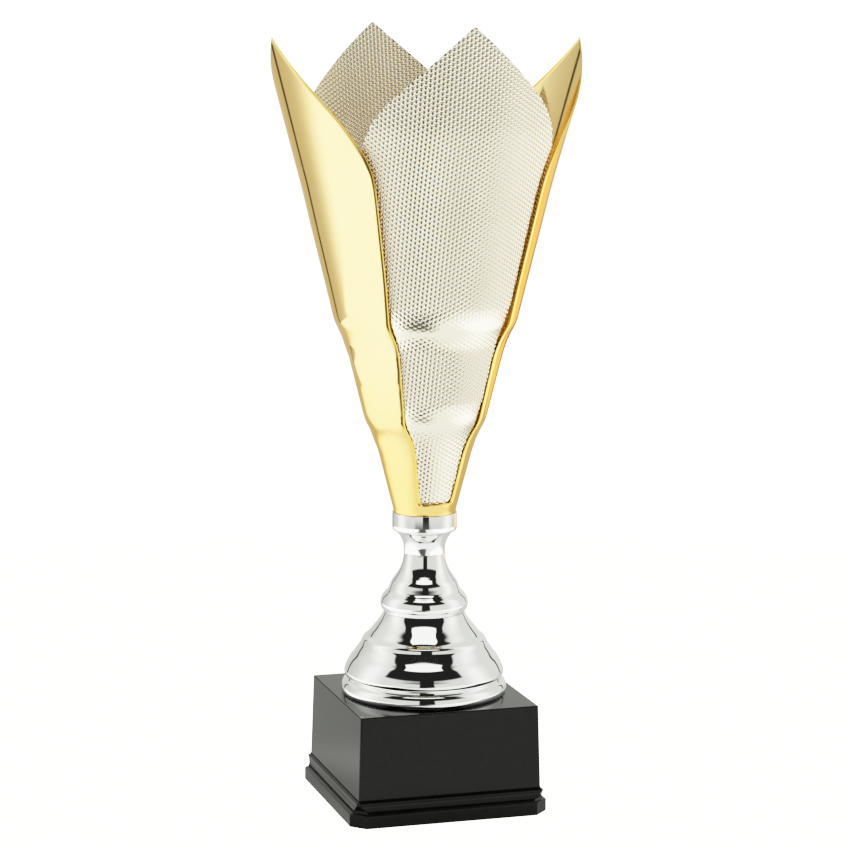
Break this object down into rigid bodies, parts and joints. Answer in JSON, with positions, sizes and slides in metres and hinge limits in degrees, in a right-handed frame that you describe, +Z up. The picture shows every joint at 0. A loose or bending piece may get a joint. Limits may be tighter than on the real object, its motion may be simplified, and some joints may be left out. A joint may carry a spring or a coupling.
{
  "type": "cup trophy",
  "caption": "Tall cup trophy: two gold petals and two embossed silver petals on a turned chrome riser and a square gloss black plinth.",
  "frame": {"origin": "centre of the underside of the plinth, on the surface the trophy stands on", "axes": "+Z up along the tie rod, -Y the front face of the plinth, +X to the right seen from the front"},
  "size_m": [0.2212, 0.2044, 0.53],
  "materials": {
    "black_gloss": "polished",
    "chrome_plate": "mirror",
    "gold_plate": "polished lacquered gold plate",
    "silver_embossed": "bright embossed sheet",
    "zinc_steel": "zinc plated",
    "cover_board": "matte",
    "plaster": "matte"
  },
  "bodies": {
    "root": {"plinth_shell": "black_gloss", "bottom_cover": "cover_board", "ballast_block": "plaster", "riser_bell": "chrome_plate", "riser_neck": "chrome_plate", "cup_collar": "chrome_plate", "gold_shell": "gold_plate", "mesh_leaf_front": "silver_embossed", "mesh_leaf_rear": "silver_embossed", "tie_rod": "zinc_steel", "cup_clamp_washer": "zinc_steel", "dome_nut": "chrome_plate", "base_washer": "zinc_steel", "lock_washer": "zinc_steel", "base_nut": "zinc_steel"}
  },
  "joints": []
}
